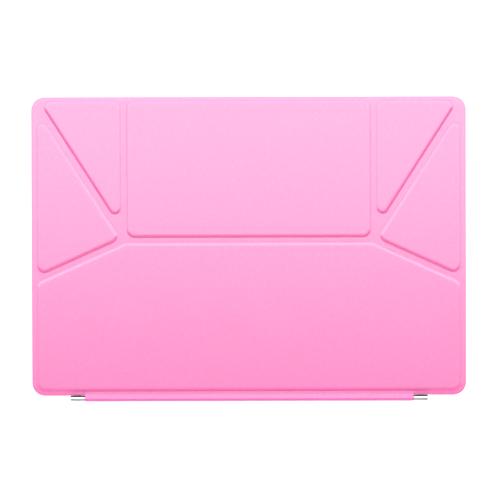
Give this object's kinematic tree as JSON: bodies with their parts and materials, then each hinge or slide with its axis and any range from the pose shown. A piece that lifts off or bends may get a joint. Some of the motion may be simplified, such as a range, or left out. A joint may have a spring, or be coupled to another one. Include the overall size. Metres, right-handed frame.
{
  "type": "folding tablet case",
  "caption": "Folding cover for a 10.1 inch tablet: stiff panels in leather with creases that fold into a stand, and a spine bar with sprung hooks at its ends.",
  "frame": {"origin": "centre of the whole outline in plan, spine included, on the surface that it lies on", "axes": "+X along the spine, +Y from the spine towards the far edge, +Z out of the leather face"},
  "size_m": [0.263, 0.1844, 0.0035],
  "materials": {
    "leather": "soft satin with fine grain",
    "lining": "brushed microfibre",
    "board": "matt fibreboard",
    "magnet": "plated",
    "hook_steel": "polished",
    "tube_steel": "drawn tube",
    "spring_steel": "spring wire",
    "bronze": "sintered bronze",
    "nylon": "moulded nylon"
  },
  "bodies": {
    "main_panel": {"main_skin": "leather", "main_board": "board", "main_lining": "lining", "spine_wrap": "leather", "spine_sleeve": "tube_steel", "left_bush": "bronze", "right_bush": "bronze"},
    "top_panel": {"top_skin": "leather", "top_board": "board", "top_lining": "lining", "wake_magnet": "magnet", "left_closing_magnet": "magnet", "right_closing_magnet": "magnet"},
    "upper_left_panel": {"upper_left_skin": "leather", "upper_left_board": "board", "upper_left_lining": "lining"},
    "lower_left_panel": {"lower_left_skin": "leather", "lower_left_board": "board", "lower_left_lining": "lining"},
    "upper_right_panel": {"upper_right_skin": "leather", "upper_right_board": "board", "upper_right_lining": "lining"},
    "lower_right_panel": {"lower_right_skin": "leather", "lower_right_board": "board", "lower_right_lining": "lining"},
    "spine_bar": {"hinge_bar": "tube_steel", "left_collar": "bronze", "right_collar": "bronze"},
    "left_latch": {"left_hook": "hook_steel", "left_hook_pad": "nylon", "left_spring": "spring_steel"},
    "right_latch": {"right_hook": "hook_steel", "right_hook_pad": "nylon", "right_spring": "spring_steel"}
  },
  "joints": [
    {"name": "stand_fold", "type": "hinge", "parent": "main_panel", "child": "top_panel", "pos_m": [0, 0.00543, 0.0022], "axis": [1, 0, 0], "range_deg": [0, 125]},
    {"name": "lower_left_fold", "type": "hinge", "parent": "main_panel", "child": "lower_left_panel", "pos_m": [-0.0759, 0.00543, 0.0022], "axis": [0.9127, 0.4087, 0], "range_deg": [0, 89.68]},
    {"name": "lower_right_fold", "type": "hinge", "parent": "main_panel", "child": "lower_right_panel", "pos_m": [0.0759, 0.00543, 0.0022], "axis": [0.9127, -0.4087, 0], "range_deg": [0, 89.68]},
    {"name": "upper_left_fold", "type": "hinge", "parent": "top_panel", "child": "upper_left_panel", "pos_m": [-0.0759, 0.00543, 0.0022], "axis": [0, -1, 0], "range_deg": [0, 75.22]},
    {"name": "upper_right_fold", "type": "hinge", "parent": "top_panel", "child": "upper_right_panel", "pos_m": [0.0759, 0.00543, 0.0022], "axis": [0, 1, 0], "range_deg": [0, 75.22]},
    {"name": "hook_swivel", "type": "hinge", "parent": "main_panel", "child": "spine_bar", "pos_m": [0, -0.09043, 0.00175], "axis": [1, 0, 0], "range_deg": [-302, 0]},
    {"name": "left_latch_slide", "type": "slide", "parent": "spine_bar", "child": "left_latch", "axis": [-1, 0, 0], "range_m": [0, 0.0015], "stiffness_N_per_m": 250, "springref_m": -0.001, "deforming": ["left_spring"]},
    {"name": "right_latch_slide", "type": "slide", "parent": "spine_bar", "child": "right_latch", "axis": [1, 0, 0], "range_m": [0, 0.0015], "stiffness_N_per_m": 250, "springref_m": -0.001, "deforming": ["right_spring"]}
  ],
  "couplings": [
    {"joint": "lower_left_fold", "follows": "stand_fold", "ratio": 0.7174},
    {"joint": "lower_right_fold", "follows": "stand_fold", "ratio": 0.7174},
    {"joint": "upper_left_fold", "follows": "stand_fold", "ratio": 0.60173},
    {"joint": "upper_right_fold", "follows": "stand_fold", "ratio": 0.60173}
  ]
}
